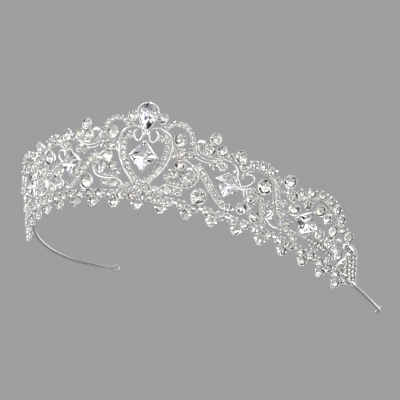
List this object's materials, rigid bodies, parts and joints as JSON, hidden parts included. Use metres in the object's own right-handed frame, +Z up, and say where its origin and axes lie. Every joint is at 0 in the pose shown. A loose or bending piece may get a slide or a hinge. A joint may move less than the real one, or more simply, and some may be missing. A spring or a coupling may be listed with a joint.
{
  "type": "bridal tiara",
  "caption": "Bridal tiara: curved crystal scrollwork panel with heart centre, pendant base chain and plain wire headband with end eyelets.",
  "frame": {"origin": "centre of the bounding box on the plane that the pendant tips stand on", "axes": "+X across the head, to the right of someone facing the front; +Y from the front panel to the open back; +Z up"},
  "size_m": [0.1418, 0.14, 0.0356],
  "materials": {
    "rhodium_plate": "polished",
    "crystal": "polished facets"
  },
  "bodies": {
    "root": {"headband_wire": "rhodium_plate", "centre_base_chain": "rhodium_plate", "heart_frame": "rhodium_plate", "centre_cluster": "rhodium_plate", "centre_square_basket": "rhodium_plate", "pear_setting": "rhodium_plate", "centre_square_crystal": "crystal", "pear_crystal": "crystal", "right_base_chain": "rhodium_plate", "left_base_chain": "rhodium_plate", "right_crown_arch": "rhodium_plate", "left_crown_arch": "rhodium_plate", "right_inner_scroll": "rhodium_plate", "left_inner_scroll": "rhodium_plate", "right_lower_spray": "rhodium_plate", "left_lower_spray": "rhodium_plate", "right_top_spray": "rhodium_plate", "left_top_spray": "rhodium_plate", "right_inner_square_basket": "rhodium_plate", "left_inner_square_basket": "rhodium_plate", "right_side_arch": "rhodium_plate", "left_side_arch": "rhodium_plate", "right_flower_spray": "rhodium_plate", "left_flower_spray": "rhodium_plate", "right_outer_scroll": "rhodium_plate", "left_outer_scroll": "rhodium_plate", "right_side_cluster": "rhodium_plate", "left_side_cluster": "rhodium_plate", "right_outer_arch": "rhodium_plate", "left_outer_arch": "rhodium_plate", "right_outer_square_basket": "rhodium_plate", "left_outer_square_basket": "rhodium_plate", "right_outer_spray": "rhodium_plate", "left_outer_spray": "rhodium_plate", "right_end_leaf": "rhodium_plate", "left_end_leaf": "rhodium_plate", "right_flank_round": "crystal", "left_flank_round": "crystal", "right_arch_round": "crystal", "left_arch_round": "crystal", "right_drop_round": "crystal", "left_drop_round": "crystal", "right_shoulder_round": "crystal", "left_shoulder_round": "crystal", "right_inner_square_crystal": "crystal", "left_inner_square_crystal": "crystal", "right_side_round": "crystal", "left_side_round": "crystal", "right_peak_round": "crystal", "left_peak_round": "crystal", "right_outer_arch_round": "crystal", "left_outer_arch_round": "crystal", "right_end_round": "crystal", "left_end_round": "crystal", "right_outer_square_crystal": "crystal", "left_outer_square_crystal": "crystal", "right_tip_round": "crystal", "left_tip_round": "crystal"}
  },
  "joints": []
}
